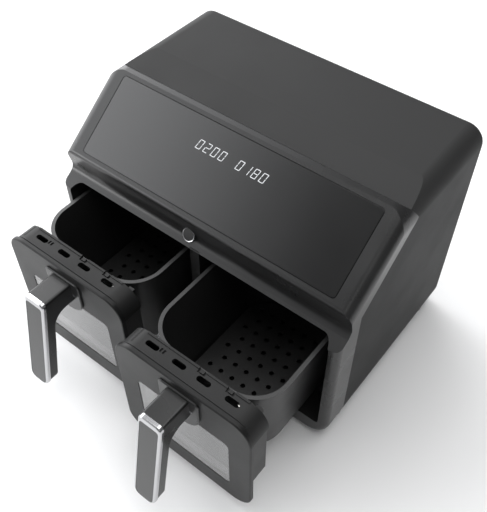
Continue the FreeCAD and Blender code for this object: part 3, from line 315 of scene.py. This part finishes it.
def badge():
    """The badge's plug, cut off level with the groove's mouth, with a bright line round its plain face."""
    low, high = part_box("badge_ring")
    middle = (low + high) / 2
    turn = Matrix.Rotation(math.radians(BADGE_TILT), 4, "X")
    mesh = bmesh.new()
    bmesh.ops.create_cone(mesh, cap_ends=True, segments=BADGE_SEGMENTS, radius1=BADGE_RADIUS,
                          radius2=BADGE_RADIUS, depth=BADGE_DEPTH)
    bmesh.ops.transform(mesh, verts=mesh.verts,
                        matrix=Matrix.Translation(middle) @ turn @ Matrix.Translation((0, 0, BADGE_RAISE)))
    facing = Matrix.Rotation(math.radians(BADGE_FACING), 3, "X") @ Vector((0, 0, 1))
    level = middle + BADGE_CUT
    cut = bmesh.ops.bisect_plane(mesh, geom=mesh.verts[:] + mesh.edges[:] + mesh.faces[:], plane_co=level,
                                 plane_no=facing, clear_outer=True)
    rim = [part for part in cut["geom_cut"] if isinstance(part, bmesh.types.BMEdge)]
    face = bmesh.ops.contextual_create(mesh, geom=rim)["faces"][0]
    for thickness, index in ((BADGE_MARGIN, 0), (BADGE_LINE, 1)):
        made = bmesh.ops.inset_region(mesh, faces=[face], thickness=thickness, depth=0.0)
        for ring in made["faces"]:
            ring.material_index = index
    bmesh.ops.translate(mesh, verts=face.verts, vec=facing * -BADGE_SINK)
    thing = new_piece("badge_face", mesh, "casing", FASCIA, BADGE_RING)
    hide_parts("badge_ring")


def ground_glass():
    """The control panel with a small ground edge all round. The edge is near black and less glossy than the
    smoky face: painted shade for the dark gap line round the glass.
    """
    low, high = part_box("control_glass")
    lean, rise = math.cos(SLOPE), math.sin(SLOPE)
    half_wide = (high.x - low.x) / 2
    half_long = (high.y - low.y - GLASS_THICK * rise) / lean / 2
    mesh = bmesh.new()
    corners = []
    for sx, sy, start in ((1, 1, 0), (-1, 1, 90), (-1, -1, 180), (1, -1, 270)):
        for step in range(GLASS_STEPS + 1):
            a = math.radians(start + 90 * step / GLASS_STEPS)
            corners.append(mesh.verts.new((sx * (half_wide - GLASS_ROUND) + GLASS_ROUND * math.cos(a),
                                           sy * (half_long - GLASS_ROUND) + GLASS_ROUND * math.sin(a), 0)))
    bottom = mesh.faces.new(corners)
    made = bmesh.ops.extrude_face_region(mesh, geom=[bottom])
    top = [part for part in made["geom"] if isinstance(part, bmesh.types.BMVert)]
    bmesh.ops.translate(mesh, verts=top, vec=(0, 0, GLASS_THICK))
    rim = [edge for edge in mesh.edges if all(v in top for v in edge.verts)]
    bmesh.ops.bevel(mesh, geom=rim, offset=GLASS_CHAMFER, offset_type="OFFSET", affect="EDGES", segments=2,
                    profile=0.5, material=-1)
    for face in mesh.faces:
        face.normal_update()
        face.material_index = 0 if abs(face.normal.z) > 0.99 else 1
    turn = Matrix.Rotation(SLOPE, 4, "X")
    middle = (low + high) / 2
    bmesh.ops.transform(mesh, verts=mesh.verts, matrix=Matrix.Translation(middle) @ turn
                        @ Matrix.Translation((0, 0, -GLASS_THICK / 2)))
    thing = new_piece("control_glass_ground", mesh, "casing", PANEL_GLASS, GLASS_EDGE_PAINTED_SHADE)
    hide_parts("control_glass")


SLOPE = math.radians(37)
GLASS_THICK = 0.003
GLASS_ROUND = 0.004
GLASS_STEPS = 6
GLASS_CHAMFER = 0.0006
ground_glass()

BADGE_TILT = 55
BADGE_FACING = 65
BADGE_RADIUS = 0.00845
BADGE_DEPTH = 0.012
BADGE_RAISE = 0.0045
BADGE_SEGMENTS = 72
BADGE_CUT = Vector((0, -0.0014, -0.0013))
BADGE_MARGIN = 0.0004
BADGE_LINE = 0.0007
BADGE_SINK = 0.0002
badge()


# ---------------------------------------------------------------------------------------------
# Readout: two groups of four leaning digits, each of seven segments, on the glass
# ---------------------------------------------------------------------------------------------
SEGMENTS = {"0": "abcdef", "1": "bc", "2": "abged", "8": "abcdefg"}
READOUT_UP = 0.0655
DIGIT_HIGH = 0.0112
DIGIT_WIDE = 0.0064
DIGIT_STEP = 0.0104
STROKE = 0.00075
STROKE_GAP = 0.0003
STROKE_HIGH = 0.00018
ABOVE_GLASS = 0.00004
LEFT_GROUP_X = -0.0460
RIGHT_GROUP_X = 0.0090
LEAN = 0.22


def stroke_box(mesh, x0, x1, y0, y1):
    """One segment, leaning to the right as it goes up."""
    made = bmesh.ops.create_cube(mesh, size=1.0)
    for v in made["verts"]:
        x = x0 if v.co.x < 0 else x1
        y = y0 if v.co.y < 0 else y1
        v.co = Vector((x + y * LEAN, y, STROKE_HIGH if v.co.z > 0 else 0.0))


def add_digit(mesh, figure, x):
    w, h, t, gap = DIGIT_WIDE, DIGIT_HIGH, STROKE, STROKE_GAP
    m = h / 2
    shapes = {
        "a": (t, w - t, h - t, h), "g": (t, w - t, m - t / 2, m + t / 2), "d": (t, w - t, 0, t),
        "f": (0, t, m + gap, h - gap), "b": (w - t, w, m + gap, h - gap),
        "e": (0, t, gap, m - gap), "c": (w - t, w, gap, m - gap),
    }
    for key in SEGMENTS[figure]:
        x0, x1, y0, y1 = shapes[key]
        stroke_box(mesh, x + x0, x + x1, y0, y1)


def readout(name, figures, x):
    mesh = bmesh.new()
    for i, figure in enumerate(figures):
        add_digit(mesh, figure, x + i * DIGIT_STEP)
    low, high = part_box("control_glass")
    turn = Matrix.Rotation(SLOPE, 4, "X")
    foot = turn @ Vector((0, READOUT_UP, 0.0))
    corner = Vector((0, low.y, low.z + GLASS_THICK * math.cos(SLOPE)))
    out = turn @ Vector((0, 0, ABOVE_GLASS))
    bmesh.ops.transform(mesh, matrix=Matrix.Translation(corner + foot + out) @ turn, verts=mesh.verts)
    new_piece(name, mesh, "casing", DIGITS)


readout("readout_digits_left", "0200", LEFT_GROUP_X)
readout("readout_digits_right", "0180", RIGHT_GROUP_X)


# ---------------------------------------------------------------------------------------------
# Floor, light and camera
# ---------------------------------------------------------------------------------------------
FLOOR_HALF = 4.0
WORLD_BRIGHT_X, WORLD_DIM_X = -0.76, -0.28
WORLD_BRIGHT, WORLD_DIM = 3.4, 0.22


def floor():
    mesh = bmesh.new()
    bmesh.ops.create_grid(mesh, x_segments=1, y_segments=1, size=FLOOR_HALF)
    data = bpy.data.meshes.new("floor")
    mesh.to_mesh(data)
    mesh.free()
    thing = bpy.data.objects.new("floor", data)
    scene.collection.objects.link(thing)
    material = bpy.data.materials.new("floor_white")
    material.use_nodes = True
    tree = material.node_tree
    noise = tree.nodes.new("ShaderNodeTexNoise")
    noise.inputs["Scale"].default_value = 3.0
    colour = blended(tree, noise.outputs["Fac"], (0.93, 0.93, 0.93), (0.95, 0.95, 0.95))
    link(tree, colour, tree.nodes["Principled BSDF"].inputs["Base Color"])
    tree.nodes["Principled BSDF"].inputs["Roughness"].default_value = 0.8
    data.materials.append(material)
    return thing


def area(name, place, aim, size, power):
    lamp = bpy.data.lights.new(name, "AREA")
    lamp.shape = "RECTANGLE"
    lamp.size, lamp.size_y = size
    lamp.energy = power
    thing = bpy.data.objects.new(name, lamp)
    scene.collection.objects.link(thing)
    thing.location = place
    thing.rotation_euler = (Vector(aim) - Vector(place)).to_track_quat("-Z", "Y").to_euler()
    return thing


def studio_world():
    """Soft surroundings that are bright on the object's left and dim on its right."""
    world = bpy.data.worlds.new("studio")
    scene.world = world
    world.use_nodes = True
    tree = world.node_tree
    where = tree.nodes.new("ShaderNodeTexCoord")
    parts = tree.nodes.new("ShaderNodeSeparateXYZ")
    link(tree, where.outputs["Generated"], parts.inputs["Vector"])
    fall = tree.nodes.new("ShaderNodeMapRange")
    fall.interpolation_type = "SMOOTHSTEP"
    fall.inputs["From Min"].default_value = WORLD_BRIGHT_X
    fall.inputs["From Max"].default_value = WORLD_DIM_X
    fall.inputs["To Min"].default_value = WORLD_BRIGHT
    fall.inputs["To Max"].default_value = WORLD_DIM
    link(tree, parts.outputs["X"], fall.inputs["Value"])
    link(tree, fall.outputs["Result"], tree.nodes["Background"].inputs["Strength"])
    tree.nodes["Background"].inputs["Color"].default_value = (0.97, 0.98, 1.0, 1)


studio_world()
scene.view_settings.view_transform = "Standard"
stage = [floor(),
         area("key", (-1.6, 0.4, 1.3), (0, 0, 0.15), (1.2, 1.2), 12),
         area("overhead", (0.3, 0.1, 2.6), (0.3, 0.1, 0), (2.3, 2.3), 46),
         area("front_left", (-1.7, -1.7, 0.50), (-0.1, -0.1, 0.25), (0.7, 0.7), 8),
         area("strip", (1.0, -1.5, 1.4), (0.1, -0.1, 0.15), (0.25, 1.2), 1.5)]

camera_data = bpy.data.cameras.new("camera")
camera = bpy.data.objects.new("camera", camera_data)
scene.collection.objects.link(camera)
CAMERA_PLACE = (0.3699, -0.4087, 0.7968)
CAMERA_AZIMUTH = 36.96
CAMERA_ELEVATION = 49.22
CAMERA_ROLL = 0.97
CAMERA_LENS = 50.86
CAMERA_SHIFT_X = -0.022
camera.location = CAMERA_PLACE
camera.rotation_euler = (Euler((math.radians(90 - CAMERA_ELEVATION), 0, math.radians(CAMERA_AZIMUTH)), "XYZ")
                         .to_matrix() @ Matrix.Rotation(math.radians(CAMERA_ROLL), 3, "Z")).to_euler()
camera_data.sensor_width = 36.0
camera_data.lens = CAMERA_LENS
camera_data.shift_x = CAMERA_SHIFT_X
camera_data.clip_start = 0.01
scene.camera = camera
